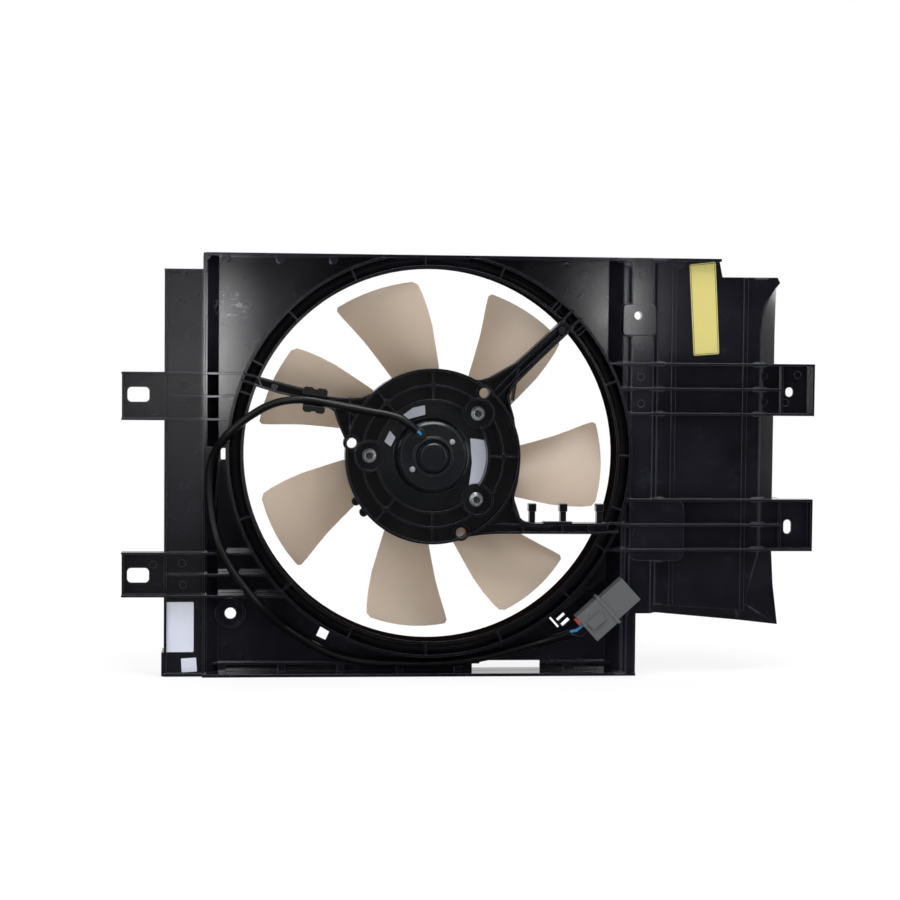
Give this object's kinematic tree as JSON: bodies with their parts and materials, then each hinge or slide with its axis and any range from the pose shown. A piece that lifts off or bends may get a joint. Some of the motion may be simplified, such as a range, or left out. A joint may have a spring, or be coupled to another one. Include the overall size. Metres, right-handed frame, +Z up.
{
  "type": "radiator fan",
  "caption": "Rectangular moulded shroud with a fan ring, three arms carrying a short motor, a wide-blade fan wheel, bracket ears, and a sheathed lead with a plug.",
  "frame": {"origin": "on the fan axis, in the plane of the rim that rests on the radiator", "axes": "+X to the right and +Z up as fitted, seen from the engine; +Y along the fan axis towards the radiator, so the engine is on the -Y side"},
  "size_m": [0.5781, 0.0718, 0.3508],
  "materials": {
    "black_moulding": "satin black",
    "fan_plastic": "milky natural",
    "zinc_steel": "bright zinc",
    "steel": "ground",
    "motor_paint": "black paint",
    "bronze": "sintered",
    "lamination": "stacked sheet",
    "copper": "copper",
    "pale_plastic": "natural",
    "magnet": "ceramic grey",
    "card": "brown laminate",
    "carbon": "dull carbon",
    "black_rubber": "smooth",
    "blue_wire": "smooth",
    "plug_grey": "satin grey",
    "latch_red": "satin red",
    "seal_grey": "smooth",
    "pin_brass": "bright"
  },
  "bodies": {
    "shroud": {"shroud_panel": "black_moulding", "fan_ring": "black_moulding", "motor_carrier": "black_moulding", "motor_can": "motor_paint", "motor_end_plate": "motor_paint", "front_bearing": "bronze", "rear_bearing": "bronze", "magnets": "magnet", "brush_card": "card", "brush_holders": "bronze", "brushes": "carbon", "brush_springs": "steel", "motor_studs": "zinc_steel", "motor_nuts": "zinc_steel", "motor_rivets": "zinc_steel", "lead_grommet": "black_rubber", "lead_sheath": "black_rubber", "lead_wires": "blue_wire", "sheath_clip": "black_moulding", "plug_housing": "plug_grey", "plug_latch": "latch_red", "plug_seal": "seal_grey", "plug_pins": "pin_brass"},
    "rotor": {"fan_wheel": "fan_plastic", "fan_nut": "zinc_steel", "fan_washer": "zinc_steel", "drive_pin": "steel", "shaft": "steel", "armature_core": "lamination", "windings": "copper", "commutator": "copper", "thrust_washers": "pale_plastic"}
  },
  "joints": [
    {"name": "fan_spin", "type": "hinge", "parent": "shroud", "child": "rotor", "pos_m": [0, 0, 0], "axis": [0, -1, 0], "continuous": true}
  ]
}
